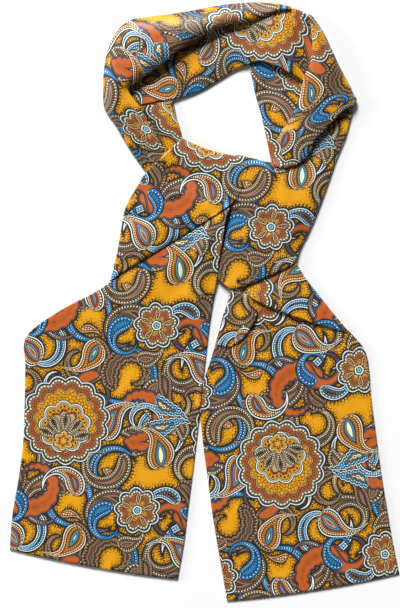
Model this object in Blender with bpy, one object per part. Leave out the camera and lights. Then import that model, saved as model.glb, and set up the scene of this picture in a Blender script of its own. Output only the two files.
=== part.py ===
"""Neck scarf of printed silk twill, laid flat in a neck loop with its ends crossed once.

The scarf is one strip, sewn as a flat tube. Seen from above with +Y away from the tails, the left tail
climbs over the crossing into the right side of the loop, runs round the back of the neck and down the
left side, passes under the crossing and leaves it as the right tail. Each stretch that shows is one
closed solid with a flat underside, and each is draped over the stretches laid down before it.

Metres, +Z up. The origin is the centre of the laid shape on the surface that it rests on.
"""

from collections import namedtuple
import math

import bmesh
import bpy
from mathutils import Vector
from mathutils.bvhtree import BVHTree
import numpy as np

MM = 0.001

# Driving sizes, in millimetres.
STRIP_WIDTH = 240.0  # full width of the strip, as the tails show it
PLY_WALL = 2.2  # thickness of a stretch where it follows what is below it
PLY_GAP = 0.5  # clearance between a stretch and what it lies on
EDGE_ROUND = 1.6  # how far the rounded edge of a stretch reaches in from its outline
EDGE_LEVEL = 0.45  # height of the outermost line of an edge, as a share of the edge's thickness
TAIL_CELL = STRIP_WIDTH / 18  # spacing of sections along a tail
LOOP_CELL = STRIP_WIDTH / 26  # spacing of sections along the loop and the crossing
SAMPLES = 3  # drape samples in each cell, each way
SOFTEN = 3  # passes that soften the creases where a stretch climbs over another
RAY_TOP = 200.0  # height from which what is below is felt for

# One row of a stretch is a section across it: where its left and right outlines are, how high the cloth
# is at the left outline, along the middle and at the right outline, and how far the section bows out.
Row = namedtuple("Row", "left_x left_y right_x right_y left_z middle_z right_z bow")
Stretch = namedtuple("Stretch", "name colour cell across rows")

MUSTARD = (0.79, 0.40, 0.03, 1.0)
RUST = (0.66, 0.12, 0.03, 1.0)
BROWN = (0.20, 0.10, 0.06, 1.0)
BLUE = (0.03, 0.19, 0.55, 1.0)
SILK_ROUGHNESS = 0.42
SILK_METALLIC = 0.0

# From the hem up to the crossing. The left and right outlines are the long edges of the strip.
TAIL_LEFT = [
    # left x, y        right x, y      left, middle, right z  bow
    Row(-271, -346, -37, -388, 2.4, 3.0, 2.4, 8),
    Row(-267, -297, -28, -335, 2.6, 3.0, 2.6, 3),
    Row(-259, -250, -23, -293, 2.6, 3.0, 2.6, 0),
    Row(-252, -194, -15, -231, 2.6, 3.0, 2.6, 0),
    Row(-250, -138, -8, -173, 2.6, 3.0, 2.6, 0),
    Row(-249, -89, -1, -107, 2.6, 3.0, 2.6, 0),
    Row(-247, -48, 5, -54, 2.6, 3.4, 2.8, 0),
    Row(-196, -10, 10, -14, 3.0, 4.2, 3.4, 0),
    Row(-145, 17, 14, 12, 3.4, 5.6, 5.0, 0),
    Row(-128, 33, 18.6, 34.4, 4.0, 7.0, 7.0, 0),
]

# On from the left tail up to the neck hole. The right outline is the tuck and the line above it.
CROSS_LEFT = [
    Row(-128, 33.4, 18.6, 34.8, 4.0, 7.0, 7.0, 0),
    Row(-124, 52, 18, 49, 4.0, 8.0, 9.0, 0),
    Row(-119, 77, 24, 73, 4.0, 9.0, 11.0, 0),
    Row(-116, 95, 26, 88, 4.0, 9.5, 12.0, 0),
    Row(-112, 127, 28, 106, 4.0, 10.0, 13.0, 0),
    Row(-96, 155, 33, 124, 5.0, 10.0, 12.5, 0),
    Row(-79, 182, 41, 138, 9.0, 10.0, 11.0, 0),
    Row(-61, 199, 43, 159, 10.0, 10.0, 10.0, 0),
    Row(-46, 214, 44.4, 182, 10.0, 10.0, 9.0, 2),
    Row(-30, 228, 45.4, 204, 8.0, 8.0, 7.0, 5),
]

# From the gap between the tails up to the right side of the loop, partly under the left half.
CROSS_RIGHT = [
    Row(5, 64, 21.4, 31, 3.0, 4.0, 5.0, 0),
    Row(7, 85, 38, 19, 3.0, 6.0, 7.0, 0),
    Row(12, 105, 59, 23, 3.0, 8.0, 8.0, 0),
    Row(17, 124, 82, 33, 4.0, 9.0, 8.0, 0),
    Row(28, 138, 105, 43, 6.0, 9.5, 8.0, 0),
    Row(44, 147, 125, 54, 9.5, 10.0, 6.0, 0),
    Row(45, 164, 135, 77, 9.5, 10.0, 4.0, 0),
    Row(46, 183, 146, 98, 8.5, 10.0, 4.0, 0),
    Row(47, 203.5, 157, 123, 7.0, 9.5, 4.0, 0),
    Row(68, 200, 166, 147, 5.0, 8.5, 4.0, 0),
    Row(87, 195, 174, 169, 4.5, 7.5, 4.0, 0),
    Row(107, 198, 184, 198, 5.0, 6.5, 4.0, 0),
    Row(129, 221, 197, 229, 4.0, 6.0, 4.0, 0),
    Row(153, 246, 205, 255, 3.0, 5.0, 3.5, 0),
    Row(182, 268, 211, 274, 3.0, 4.0, 3.0, 0),
]

# From the hem up until it is hidden under the crossing.
TAIL_RIGHT = [
    Row(33, -418, 273, -380, 2.4, 3.0, 2.4, 4),
    Row(22, -353, 262, -325, 2.6, 3.0, 2.6, 0),
    Row(14, -306, 256, -289, 2.6, 3.0, 2.6, 0),
    Row(7, -254, 249, -247, 2.6, 3.0, 2.6, 0),
    Row(-1, -192, 240, -181, 2.6, 3.0, 2.6, 0),
    Row(-5, -131, 233, -126, 2.6, 3.0, 2.6, 0),
    Row(3, -103, 231, -96, 2.6, 3.2, 2.6, 0),
    Row(12, -76, 226, -70, 2.6, 3.4, 2.6, 0),
    Row(21, -44, 212, -51, 2.8, 3.6, 2.8, 0),
    Row(28, -18, 189, -28, 2.8, 4.0, 2.8, 0),
    Row(34, 0, 164, 0, 2.8, 4.0, 2.8, 0),
    Row(37, 17, 142, 25, 2.8, 4.0, 2.8, 0),
    Row(40, 32, 131, 44, 2.4, 3.0, 2.4, 0),
]

# Left part of the right tail, tucked over the rest of it. It only follows what is below.
TAIL_RIGHT_TUCK = [
    Row(38, 15, 55, 12, 0, 0, 0, 0),
    Row(35, 0, 68, 1, 0, 0, 0, 0),
    Row(31, -14, 74, -12, 0, 0, 0, 0),
    Row(27, -28, 71, -26, 0, 0, 0, 0),
    Row(23, -41, 63, -40, 0, 0, 0, 0),
    Row(21, -52, 51, -54, 0, 0, 0, 0),
    Row(20, -60, 35, -64, 0, 0, 0, 0),
]

# Corner of the under end, turned over. The left outline is its fold, the right one its free edge.
FLAP_TURNED = [
    Row(59, 26, 63, 8, 0, 0, 0, 0),
    Row(77, 39, 82, -2, 0, 0, 0, 0),
    Row(98, 51, 107, -12, 0, 0, 0, 0),
    Row(122, 59, 129, -21, 0, 0, 0, 0),
    Row(143, 31, 150, -28, 0, 0, 0, 0),
    Row(163, 6, 170, -34, 0, 0, 0, 0),
    Row(182, -18, 187, -39, 0, 0, 0, 0),
    Row(198, -37, 200, -42, 0, 0, 0, 0),
]

# Left side of the loop, from the back of the neck down. The right outline is the neck hole.
BAND_LEFT_INNER = [
    Row(-103, 296, -50, 299, 3.0, 4.0, 3.0, 0),
    Row(-99, 277, -44, 282, 4.0, 5.5, 3.4, 0),
    Row(-89, 259, -39, 259, 4.0, 6.0, 3.4, 0),
    Row(-77, 236, -33, 240, 4.0, 6.0, 3.4, 0),
    Row(-64, 217, -30, 226, 4.0, 5.0, 3.4, 0),
    Row(-53, 201, -22, 212, 3.0, 4.0, 3.0, 0),
]

# The same stretch of the loop, the strip that lies on top. The left outline is the loop's outside.
BAND_LEFT_OUTER = [
    Row(-140, 297.4, -106, 297.4, 3.4, 15.0, 11.0, 0),
    Row(-138, 271, -91, 273, 3.4, 14.5, 10.0, 0),
    Row(-123, 248, -78, 250, 3.4, 13.0, 9.0, 0),
    Row(-112, 229, -65, 229, 3.4, 11.0, 8.0, 0),
    Row(-101, 211, -53, 210, 3.4, 9.0, 7.0, 0),
    Row(-89, 194, -42, 198, 3.4, 7.0, 6.0, 0),
    Row(-77, 177, -42, 184, 3.0, 5.0, 4.0, 0),
]

# Back of the neck, from the left side to the right. The right outline is the neck hole.
BAND_BACK_INNER = [
    Row(-104, 301, -88, 276, 4.0, 5.0, 4.0, 0),
    Row(-98, 315, -67, 280, 5.0, 6.5, 4.0, 0),
    Row(-78, 333, -43, 284, 6.0, 7.0, 3.6, 0),
    Row(-57, 348, -22, 289, 6.0, 7.0, 3.6, 0),
    Row(-33, 366, -2, 297, 6.0, 7.0, 3.6, 0),
    Row(-9, 380, 23, 312, 6.0, 7.0, 3.6, 0),
    Row(14, 396, 45, 326, 6.0, 8.0, 3.6, 0),
    Row(40, 406, 61, 332, 6.0, 9.0, 4.0, 0),
    Row(65, 412, 77, 337, 6.0, 10.0, 6.0, 0),
    Row(93, 414, 96, 332, 5.0, 11.0, 8.0, 0),
    Row(118, 411, 117, 322, 4.0, 11.0, 8.0, 0),
    Row(140, 404, 138, 310, 3.4, 10.0, 8.0, 0),
    Row(160, 386, 153, 306, 3.0, 6.0, 6.0, 0),
]

# Back of the neck, the strip on top. The left outline is the loop's outside, the right one its fold.
BAND_BACK_OUTER = [
    Row(-140, 297.9, -106, 297.9, 3.4, 15.0, 11.0, 0),
    Row(-139, 323, -93, 308, 3.4, 15.5, 11.0, 0),
    Row(-133, 354, -81, 317, 3.4, 16.0, 11.0, 0),
    Row(-120, 379, -67, 327, 3.4, 16.0, 11.0, 0),
    Row(-103, 393, -51, 338, 3.4, 16.0, 11.0, 0),
    Row(-75, 398, -36, 351, 3.4, 16.0, 11.0, 0),
    Row(-44, 402, -15, 365, 3.4, 16.0, 11.0, 0),
    Row(-9, 408, 6, 375, 3.4, 15.0, 11.0, 0),
    Row(23, 414, 28, 386, 3.4, 14.0, 11.0, 0),
    Row(54, 417.5, 55, 390, 3.4, 13.0, 10.5, 0),
    Row(82, 418, 82, 397, 3.4, 12.0, 10.0, 0),
    Row(105, 416, 105, 406, 3.4, 10.0, 9.0, 0),
    Row(122, 412, 121, 408, 3.4, 8.0, 7.0, 0),
]

# Right side of the loop, from the back of the neck down. The left outline is the neck hole.
BAND_RIGHT_INNER = [
    Row(62, 343, 152, 337, 3.0, 4.0, 4.0, 0),
    Row(66, 324, 154, 317, 3.4, 6.0, 6.0, 0),
    Row(72, 294, 153, 294, 3.4, 7.0, 6.0, 0),
    Row(80, 266, 142, 266, 3.4, 7.0, 6.0, 0),
    Row(87, 236, 124, 239, 3.4, 7.0, 6.0, 0),
    Row(91, 217, 121, 217, 3.4, 7.0, 6.0, 0),
    Row(96, 197, 122, 198, 3.4, 6.0, 6.0, 0),
    Row(101, 189, 118, 187, 3.4, 4.0, 4.0, 0),
]

# The same stretch, the strip on top. It ends in the fold that overhangs the crossing.
BAND_RIGHT_OUTER = [
    Row(147, 402, 152, 399, 6.0, 7.0, 4.0, 0),
    Row(150, 383, 166, 379, 9.0, 10.0, 3.4, 0),
    Row(152, 357, 178, 354, 11.0, 13.0, 3.4, 0),
    Row(149, 333, 191, 326, 11.0, 14.0, 3.4, 0),
    Row(140, 311, 201, 308, 11.0, 15.0, 3.4, 0),
    Row(136, 291, 209, 291, 10.0, 15.0, 4.0, 0),
    Row(128, 267, 213, 281, 9.0, 15.0, 6.0, 0),
    Row(115, 246, 191, 264, 9.0, 14.0, 11.0, 0),
    Row(107, 233, 168, 240, 9.0, 13.0, 11.0, 0),
    Row(108, 217, 153, 224, 9.0, 12.0, 11.0, 0),
    Row(111, 201, 147, 207, 9.0, 11.0, 10.0, 0),
    Row(114, 187, 129, 191, 8.0, 9.0, 8.5, 0),
]

# In the order in which they are laid down, the lowest first.
STRETCHES = [
    Stretch("tail_right", MUSTARD, TAIL_CELL, 14, TAIL_RIGHT),
    Stretch("tail_right_tuck", BROWN, LOOP_CELL, 5, TAIL_RIGHT_TUCK),
    Stretch("flap_turned", RUST, LOOP_CELL, 8, FLAP_TURNED),
    Stretch("band_left_inner", MUSTARD, LOOP_CELL, 6, BAND_LEFT_INNER),
    Stretch("band_left_outer", BLUE, LOOP_CELL, 7, BAND_LEFT_OUTER),
    Stretch("tail_left", MUSTARD, TAIL_CELL, 14, TAIL_LEFT),
    Stretch("cross_right", MUSTARD, LOOP_CELL, 12, CROSS_RIGHT),
    Stretch("cross_left", RUST, LOOP_CELL, 14, CROSS_LEFT),
    Stretch("band_right_inner", MUSTARD, LOOP_CELL, 8, BAND_RIGHT_INNER),
    Stretch("band_back_inner", BROWN, LOOP_CELL, 9, BAND_BACK_INNER),
    Stretch("band_right_outer", RUST, LOOP_CELL, 9, BAND_RIGHT_OUTER),
    Stretch("band_back_outer", BROWN, LOOP_CELL, 7, BAND_BACK_OUTER),
]


def clear_scene():
    for obj in list(bpy.data.objects):
        bpy.data.objects.remove(obj, do_unlink=True)


def silk(name, colour):
    """The cloth's plain colour, one material for each stretch."""
    material = bpy.data.materials.new(name)
    material.use_nodes = True
    shader = material.node_tree.nodes["Principled BSDF"]
    shader.inputs["Base Color"].default_value = colour
    shader.inputs["Roughness"].default_value = SILK_ROUGHNESS
    shader.inputs["Metallic"].default_value = SILK_METALLIC
    return material


def sections(rows, cell):
    """The rows and the sections between them, on a smooth curve through each column."""
    table = np.array(rows, dtype=float)
    middles = (table[:, 0:2] + table[:, 2:4]) / 2
    runs = np.linalg.norm(np.diff(middles, axis=0), axis=1)
    marks = np.concatenate([[0.0], np.cumsum(runs)])
    slopes = np.gradient(table, marks, axis=0)
    result = []
    for k, run in enumerate(runs):
        steps = max(1, round(run / cell))
        for step in range(steps):
            t = step / steps
            result.append(
                (2 * t**3 - 3 * t**2 + 1) * table[k]
                + (t**3 - 2 * t**2 + t) * run * slopes[k]
                + (3 * t**2 - 2 * t**3) * table[k + 1]
                + (t**3 - t**2) * run * slopes[k + 1]
            )
    result.append(table[-1])
    return np.array(result)


def lines_across(row, across):
    """Places across a section from 0 to 1, with one just inside each outline for the rounded edge."""
    width = math.hypot(row[2] - row[0], row[3] - row[1])
    inset = min(EDGE_ROUND / width, 0.2)
    return np.concatenate([[0.0], np.linspace(inset, 1 - inset, across + 1), [1.0]])


def plan_point(row, v):
    """The point at v across a section, seen from above."""
    left, right, bow = row[0:2], row[2:4], row[7]
    along = right - left
    outward = np.array([along[1], -along[0]]) / np.hypot(*along)
    return left + v * along + 4 * v * (1 - v) * bow * outward


def shaped_height(row, v):
    """The height that the section's own shape gives, with a crown between the two outlines."""
    edge = row[4] + (row[6] - row[4]) * v
    crown = row[5] - (row[4] + row[6]) / 2
    return edge + crown * (1 - abs(2 * v - 1) ** 3)


def height_below(point, laid):
    """How high the stretches laid so far reach at this point, or 0 on the surface."""
    highest = 0.0
    for tree in laid:
        hit = tree.ray_cast(Vector((point[0], point[1], RAY_TOP)), Vector((0, 0, -1)))[0]
        if hit is not None:
            highest = max(highest, hit.z)
    return highest


def between(grid, samples):
    """The rows of a grid with samples - 1 more between each two, on straight lines."""
    share = np.arange(samples) / samples
    share = share.reshape((-1,) + (1,) * (grid.ndim - 1))
    finer = [a + (b - a) * share for a, b in zip(grid[:-1], grid[1:])]
    return np.concatenate(finer + [grid[-1:]])


def drape(plan, laid):
    """For each grid point, the highest thing below it or within a cell of it, inside this stretch."""
    fine = between(between(plan, SAMPLES).swapaxes(0, 1), SAMPLES).swapaxes(0, 1)
    below = np.array([[height_below(point, laid) for point in line] for line in fine])
    result = np.zeros(plan.shape[:2])
    for i in range(plan.shape[0]):
        for j in range(plan.shape[1]):
            first_i, first_j = max(0, (i - 1) * SAMPLES), max(0, (j - 1) * SAMPLES)
            felt = below[first_i : (i + 1) * SAMPLES + 1, first_j : (j + 1) * SAMPLES + 1]
            result[i, j] = felt.max()
    return result


def soften(top, least):
    """Evens out the creases of the upper side, without dipping under its least height."""
    for _ in range(SOFTEN):
        mean = top.copy()
        mean[1:-1, :] = (top[:-2, :] + 2 * top[1:-1, :] + top[2:, :]) / 4
        mean[:, 1:-1] = (mean[:, :-2] + 2 * mean[:, 1:-1] + mean[:, 2:]) / 4
        top = np.maximum(mean, least)
    return top


def closed_loft(plan, lower, upper):
    """A closed body between the two heights: flat cells above and below, and a rounded long edge."""
    body = bmesh.new()
    count, width = plan.shape[:2]
    rings = []
    for i in range(count):
        ring = []
        for j in range(1, width - 1):
            ring.append(body.verts.new((*plan[i, j], upper[i, j])))
        for j in (width - 1, *range(width - 2, 0, -1), 0):
            z = lower[i, j]
            if j in (0, width - 1):
                z += EDGE_LEVEL * (upper[i, j] - lower[i, j])
            ring.append(body.verts.new((*plan[i, j], z)))
        rings.append(ring)
    size = len(rings[0])
    for one, two in zip(rings[:-1], rings[1:]):
        for k in range(size):
            following = (k + 1) % size
            body.faces.new((one[k], one[following], two[following], two[k]))
    for ring in (rings[0], rings[-1]):
        close_end(body, ring, width)
    bmesh.ops.recalc_face_normals(body, faces=body.faces)
    level = [face for face in body.faces if all(vert.co.z == 0.0 for vert in face.verts)]
    edges = {edge for face in level for edge in face.edges}
    verts = {vert for face in level for vert in face.verts}
    bmesh.ops.dissolve_limit(body, angle_limit=math.radians(0.1), verts=list(verts), edges=list(edges))
    return body


def close_end(body, ring, width):
    """Closes a ring with a strip of faces from its upper points to its lower ones."""
    upper = ring[: width - 2]
    right, lower, left = ring[width - 2], ring[width - 1 : -1][::-1], ring[-1]
    body.faces.new((left, upper[0], lower[0]))
    for k in range(len(upper) - 1):
        body.faces.new((upper[k], upper[k + 1], lower[k + 1], lower[k]))
    body.faces.new((upper[-1], right, lower[-1]))


def lay(stretch, laid, collection):
    """Builds one stretch over those already laid, as an object with its own material."""
    rows = sections(stretch.rows, stretch.cell)
    places = np.array([lines_across(row, stretch.across) for row in rows])
    plan = np.array([[plan_point(row, v) for v in line] for row, line in zip(rows, places)])
    shape = np.array([[shaped_height(row, v) for v in line] for row, line in zip(rows, places)])
    below = drape(plan, laid)
    lower = np.where(below > 0, below + PLY_GAP, 0.0)
    least = lower + PLY_WALL
    upper = soften(np.maximum(shape, least), least)
    body = closed_loft(plan, lower, upper)
    laid.append(BVHTree.FromBMesh(body))
    middle = Vector((*plan.reshape(-1, 2).mean(axis=0), 0.0))
    for vert in body.verts:
        vert.co = (vert.co - middle) * MM
    mesh = bpy.data.meshes.new(stretch.name)
    body.to_mesh(mesh)
    body.free()
    mesh.shade_smooth()
    mesh.set_sharp_from_angle(angle=math.radians(40))
    mesh.materials.append(silk(f"silk_{stretch.name}", stretch.colour))
    obj = bpy.data.objects.new(stretch.name, mesh)
    obj.location = middle * MM
    collection.objects.link(obj)


def main():
    clear_scene()
    collection = bpy.data.collections.new("neck_scarf")
    bpy.context.scene.collection.children.link(collection)
    laid = []
    for stretch in STRETCHES:
        lay(stretch, laid, collection)


main()
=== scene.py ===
"""Looks of the neck scarf: printed silk twill, laid flat in a neck loop with its ends crossed once.

The scarf is one strip sewn as a flat tube. Each stretch of it that shows is a closed sheet of cloth,
laid over the stretches under it, with its folds and creases placed one by one. Sizes are in millimetres
until a mesh is made. The print is drawn by shader nodes in the cloth's own flat coordinates.
"""

from collections import namedtuple
import math

import bpy
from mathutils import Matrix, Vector
from mathutils.bvhtree import BVHTree
import numpy as np


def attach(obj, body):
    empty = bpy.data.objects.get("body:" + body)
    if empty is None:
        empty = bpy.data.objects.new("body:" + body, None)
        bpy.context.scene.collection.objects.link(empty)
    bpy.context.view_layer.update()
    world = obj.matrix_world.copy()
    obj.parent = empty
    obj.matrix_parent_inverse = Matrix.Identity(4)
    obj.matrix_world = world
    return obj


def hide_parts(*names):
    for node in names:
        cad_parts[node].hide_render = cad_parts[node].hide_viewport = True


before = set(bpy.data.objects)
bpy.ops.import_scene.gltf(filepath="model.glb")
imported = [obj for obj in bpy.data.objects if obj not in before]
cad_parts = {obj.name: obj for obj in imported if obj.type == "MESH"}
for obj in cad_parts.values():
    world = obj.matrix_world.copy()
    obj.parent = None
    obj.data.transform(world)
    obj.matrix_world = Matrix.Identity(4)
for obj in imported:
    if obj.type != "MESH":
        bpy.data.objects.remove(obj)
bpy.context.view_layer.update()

MM = 0.001


def new_object(name, data):
    obj = bpy.data.objects.new(name, data)
    bpy.context.scene.collection.objects.link(obj)
    return obj


# ---- the shapes

CELL = 2.5  # spacing of the points of the cloth
PLY = 1.3  # thickness of one ply where plies show at an edge
GAP = 0.25  # clearance between a stretch and what it lies on
SILK_WALL = 1.6  # thickness of the flat tube
MELTED_WALL = 0.06  # thickness of a margin that melts into what it lies on
EVEN_PASSES = 7  # passes that soften the cloth where it climbs over an edge
RAY_TOP = 200.0  # height from which what is below is felt for
FEWEST_ACROSS = 6  # cells across the narrowest stretch
CROWN_POWER = 3  # how evenly a section is rounded: higher is flatter in the middle
CREASE_POWER = 1.6  # how sharply a crease ends to the sides
TUCK_TOP = 131.0  # where the centre tuck ends
MELT_RISE = 22.0  # how far above the tuck the cloth melts into what it lies on
MELT_FROM = 0.62  # where across the stretch the melting starts,
MELT_OVER = 0.3  # and over what share of its width it grows
# A rolled rim: how far down in a ply a point is, and how much of the roll it bulges by.
RIM_ROLL = ((0.12, 0.55), (0.5, 1.0), (1.0, 0.25))
WIDEST_ROLL = 0.8  # the most that a rim bulges
TINY = 1e-9  # keeps a length of 0 from being divided by

# One row of a stretch is a section across it: where its left and right outlines are, how high the cloth
# is at the left outline, along the middle and at the right outline, and how far the section bows out.
Row = namedtuple("Row", "left_x left_y right_x right_y left_z middle_z right_z bow", defaults=(0,))
LEFT, RIGHT = slice(0, 2), slice(2, 4)
RIGHT_Y, LEFT_Z, MIDDLE_Z, RIGHT_Z, BOW = range(3, 8)

# From the hem up to the corner of the crossing. The left and right outlines are the long edges of the
# strip, then its edge under the other stretch and the fold of the centre tuck.
TAIL_LEFT = [
    (-271, -346, -37, -388, 2.2, 2.6, 2.2, 4),
    (-267, -297, -28, -335, 2.4, 2.8, 2.4, 1.5),
    (-259, -250, -23, -293, 2.4, 2.8, 2.4),
    (-252, -194, -15, -231, 2.4, 2.8, 2.4),
    (-250, -138, -8, -173, 2.4, 2.8, 2.4),
    (-249, -89, -1, -107, 2.4, 3.0, 2.4),
    (-247, -48, 5, -54, 2.6, 3.4, 3.0),
    (-196, -10, 10, -14, 3.0, 4.2, 4.2),
    (-145, 17, 14, 12, 3.0, 5.0, 5.6),
    (-124, 33, 18.6, 34.4, 3.0, 5.6, 7.4),
    (-104, 56, 20, 49, 3.0, 6.0, 9.0),
    (-80, 70, 22, 64, 3.2, 6.6, 10.4),
    (-55, 86, 25, 80, 3.6, 7.4, 11.6),
    (-30, 101, 27.5, 96, 4.4, 8.6, 12.6),
    (-6, 116, 29.5, 111, 6.0, 10.0, 13.2),
    (14, 128, 32, 122, 8.0, 11.0, 13.2),
    (27, 136, 36, 130, 9.0, 10.6, 12.0),
]

# Over the top of the left tail and up to the neck hole. The right outline is a fold that crosses the
# tail slantwise, and above the tuck a margin that melts into the rest of the same cloth.
CROSS_LEFT = [
    (-131, 29, -119, 38, 4.0, 5.0, 4.6),
    (-127, 41, -96, 52, 4.0, 6.6, 5.7),
    (-124, 55, -72, 67, 4.0, 7.6, 6.4),
    (-120, 71, -46, 83, 4.0, 8.6, 7.1),
    (-117, 88, -20, 99, 4.0, 9.6, 8.4),
    (-114, 107, 6, 115, 4.0, 10.2, 10.2),
    (-109, 131, 32, 131, 4.0, 10.4, 11.0),
    (-96, 155, 48, 147, 5.0, 10.2, 9.6),
    (-79, 182, 56, 163, 9.0, 10.0, 9.2),
    (-61, 199, 60, 179, 10.0, 10.0, 9.0),
    (-46, 214, 62, 192, 10.0, 9.6, 8.6, 2),
    (-30, 228, 60, 201.6, 8.0, 8.0, 7.4, 5),
]

# From the gap between the tails up to the right side of the loop, partly under the left half.
CROSS_RIGHT = [
    (3, 60, 21.4, 31, 2.4, 4.0, 6.4),
    (5, 84, 38, 19, 2.4, 6.0, 8.2),
    (9, 104, 59, 23, 2.6, 7.8, 9.0),
    (14, 123, 82, 33, 3.0, 8.8, 9.0),
    (26, 140, 105, 43, 5.0, 9.3, 8.6),
    (42, 150, 125, 54, 9.0, 9.8, 7.2),
    (43, 166, 135, 77, 9.5, 10.0, 4.6),
    (44, 184, 146, 98, 8.5, 10.0, 4.2),
    (45, 204, 157, 123, 7.0, 9.5, 4.0),
    (68, 200, 166, 147, 5.0, 8.0, 4.0),
    (87, 195, 174, 169, 4.0, 6.5, 4.0),
    (107, 198, 184, 198, 3.6, 5.0, 4.0),
    (129, 221, 197, 229, 3.0, 4.4, 4.0),
    (153, 246, 205, 255, 3.0, 4.0, 3.5),
    (182, 268, 211, 274, 3.0, 4.0, 3.0),
]

# From the hem up until it is hidden under the crossing.
TAIL_RIGHT = [
    (33, -418, 273, -380, 2.2, 2.6, 2.2, 4),
    (22, -353, 262, -325, 2.4, 2.8, 2.4),
    (14, -306, 256, -289, 2.4, 2.8, 2.4),
    (7, -254, 249, -247, 2.4, 2.8, 2.4),
    (-1, -192, 240, -181, 2.4, 2.8, 2.4),
    (-5, -131, 233, -126, 2.4, 2.8, 2.4),
    (3, -103, 231, -96, 2.4, 3.0, 2.4),
    (12, -76, 226, -70, 2.4, 3.2, 2.4),
    (21, -44, 212, -51, 2.6, 3.4, 2.6),
    (28, -18, 189, -28, 2.6, 3.6, 2.6),
    (34, 0, 164, 0, 2.6, 3.6, 2.6),
    (37, 17, 142, 25, 2.6, 3.6, 2.6),
    (40, 32, 131, 44, 2.4, 3.0, 2.4),
]

# Left part of the right tail, rolled over the rest of it. The right outline is the roll's fold.
TAIL_RIGHT_TUCK = [
    (38, 15, 55, 12, 4.0, 6.0, 6.4),
    (35, 0, 68, 1, 4.0, 6.4, 8.0),
    (31, -14, 74, -12, 3.8, 6.4, 9.0),
    (27, -28, 71, -26, 3.8, 6.0, 8.6),
    (23, -41, 63, -40, 3.6, 5.4, 7.4),
    (21, -52, 51, -54, 3.4, 5.0, 6.0),
    (20, -60, 35, -64, 3.2, 4.2, 4.6),
]

# Corner of the under end, turned over. The left outline is its fold, the right one its free edge.
FLAP_TURNED = [
    (59, 26, 63, 8, 4.0, 5.8, 6.8),
    (77, 39, 82, -2, 3.8, 6.6, 8.4),
    (98, 51, 107, -12, 3.8, 7.0, 8.8),
    (122, 59, 129, -21, 3.6, 6.8, 8.6),
    (143, 31, 150, -28, 3.6, 6.4, 8.0),
    (163, 6, 170, -34, 3.4, 5.6, 6.8),
    (182, -18, 187, -39, 3.2, 4.8, 5.6),
    (198, -37, 200, -42, 3.0, 3.6, 3.8),
]

# Left side of the loop, from the back of the neck down. The right outline is the neck hole.
BAND_LEFT_INNER = [
    (-103, 296, -50, 299, 1.8, 2.4, 2.4),
    (-99, 277, -44, 282, 2.2, 3.6, 3.6),
    (-89, 259, -39, 259, 2.4, 5.2, 4.2),
    (-77, 236, -33, 240, 2.6, 5.8, 4.2),
    (-64, 217, -30, 226, 3.4, 5.4, 3.6),
    (-53, 201, -22, 212, 3.0, 4.0, 3.0),
]

# The strip on top of it, from the crossing up, and on round the back of the neck. The left outline is
# the loop's outside, and the right one its fold.
BAND_OUTER = [
    (-77, 177, -42, 184, 3.0, 5.0, 4.0),
    (-89, 194, -42, 198, 3.4, 8.0, 7.0),
    (-101, 211, -53, 210, 3.4, 10.0, 8.6),
    (-112, 229, -65, 229, 3.4, 12.0, 10.0),
    (-123, 248, -78, 250, 3.4, 14.0, 11.4),
    (-138, 271, -91, 273, 3.4, 15.5, 12.4),
    (-140, 297.6, -106, 297.6, 3.4, 16.5, 13.0),
    (-139, 323, -93, 308, 3.6, 17.4, 14.0),
    (-133, 354, -81, 317, 3.8, 18.2, 14.4),
    (-120, 379, -67, 327, 4.4, 18.6, 15.0),
    (-103, 393, -51, 338, 5.0, 19.2, 16.0),
    (-75, 398, -36, 351, 5.4, 19.4, 16.4),
    (-44, 402, -15, 365, 5.4, 19.0, 16.2),
    (-9, 408, 6, 375, 5.0, 17.8, 15.4),
    (23, 414, 28, 386, 4.6, 16.2, 14.4),
    (54, 417.5, 55, 390, 4.0, 14.0, 12.2),
    (82, 418, 82, 397, 3.4, 12.0, 10.4),
    (105, 416, 105, 406, 3.4, 10.0, 9.0),
    (122, 412, 121, 408, 3.4, 8.0, 7.0),
]

# Back of the neck, from the left side to the right. The right outline is the neck hole.
BAND_BACK_INNER = [
    (-104, 301, -88, 276, 2.2, 2.6, 3.0),
    (-98, 315, -67, 280, 2.2, 3.0, 4.2),
    (-78, 333, -43, 284, 2.2, 4.0, 4.4),
    (-57, 348, -22, 289, 2.2, 4.4, 3.4),
    (-33, 366, -2, 297, 2.2, 4.4, 2.9),
    (-9, 380, 23, 312, 2.4, 4.6, 3.0),
    (14, 396, 45, 326, 3.2, 5.6, 3.8),
    (40, 406, 61, 332, 4.0, 6.6, 5.8),
    (65, 412, 77, 337, 5.0, 8.2, 9.0),
    (93, 414, 96, 332, 5.0, 9.6, 11.6),
    (118, 411, 117, 322, 4.0, 10.4, 12.6),
    (140, 404, 138, 310, 3.4, 6.4, 8.4),
    (160, 386, 153, 306, 2.6, 4.4, 5.2),
]

# Right side of the loop, from the back of the neck down. The left outline is the neck hole.
BAND_RIGHT_INNER = [
    (62, 343, 152, 337, 2.4, 3.0, 3.0),
    (66, 324, 154, 317, 2.8, 3.2, 3.0),
    (72, 294, 153, 294, 3.2, 5.0, 3.4),
    (80, 266, 142, 266, 3.4, 6.6, 3.6),
    (87, 236, 124, 239, 3.4, 6.6, 4.0),
    (91, 217, 121, 217, 3.4, 6.4, 5.0),
    (96, 197, 122, 198, 3.4, 6.0, 5.0),
    (101, 189, 118, 187, 3.4, 4.0, 4.0),
]

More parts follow.
